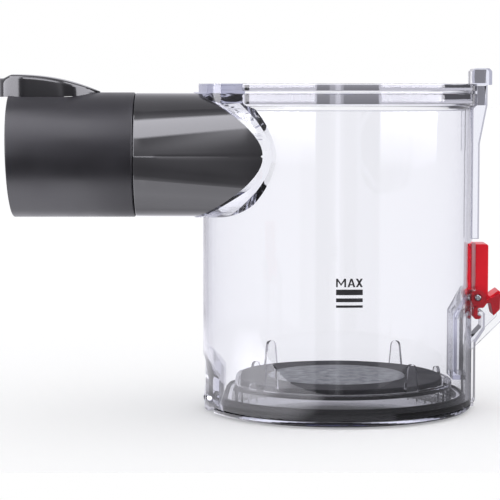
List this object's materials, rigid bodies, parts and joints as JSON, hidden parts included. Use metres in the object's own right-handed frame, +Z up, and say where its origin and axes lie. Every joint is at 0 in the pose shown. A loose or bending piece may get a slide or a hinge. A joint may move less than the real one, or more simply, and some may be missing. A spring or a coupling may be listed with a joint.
{
  "type": "vacuum cleaner dust bin",
  "caption": "Clear round dust bin of a stick vacuum cleaner, with a side inlet duct, a tube-release button, a hinged base door with seal and pad, and a sprung latch.",
  "frame": {"origin": "on the bin's axis, at the flat underside of the closed base door", "axes": "+Z up along the bin's axis; -X along the inlet duct, towards its mouth; -Y is the side on which the duct stands off the axis; the latch and the rear hook are at +X"},
  "size_m": [0.2156, 0.121, 0.1488],
  "materials": {
    "clear_plastic": "clear polished moulding",
    "gloss_dark_plastic": "polished dark grey",
    "matte_dark_plastic": "fine spark-eroded charcoal",
    "red_plastic": "satin red",
    "seal_rubber": "black moulded rubber",
    "pad_rubber": "dark smooth rubber",
    "pad_insert": "worn matt grey",
    "steel": "bright drawn"
  },
  "bodies": {
    "bin": {"bin_shell": "clear_plastic", "inlet_duct": "gloss_dark_plastic", "inlet_sleeve": "matte_dark_plastic", "button_pin": "steel", "latch_pin": "steel", "door_hinge_pin": "steel", "button_spring": "steel", "latch_spring": "steel"},
    "door": {"door_lid": "clear_plastic", "door_tongue": "clear_plastic", "door_seal": "seal_rubber", "fin_plate": "clear_plastic", "door_pad": "pad_rubber", "pad_insert": "pad_insert"},
    "latch": {"latch_lever": "red_plastic"},
    "button": {"release_button": "gloss_dark_plastic"}
  },
  "joints": [
    {"name": "door_hinge", "type": "hinge", "parent": "bin", "child": "door", "pos_m": [-0.0558, 0, 0.0062], "axis": [0, 1, 0], "range_deg": [0, 100]},
    {"name": "latch_pivot", "type": "hinge", "parent": "bin", "child": "latch", "pos_m": [0.061, 0, 0.0492], "axis": [0, 1, 0], "range_deg": [0, 13], "stiffness_Nm_per_rad": 0.1, "springref_deg": -8.59, "deforming": ["latch_spring"]},
    {"name": "button_pivot", "type": "hinge", "parent": "bin", "child": "button", "pos_m": [-0.12, -0.0255, 0.1397], "axis": [0, 1, 0], "range_deg": [0, 7], "stiffness_Nm_per_rad": 0.08, "springref_deg": -8.59, "deforming": ["button_spring"]}
  ]
}
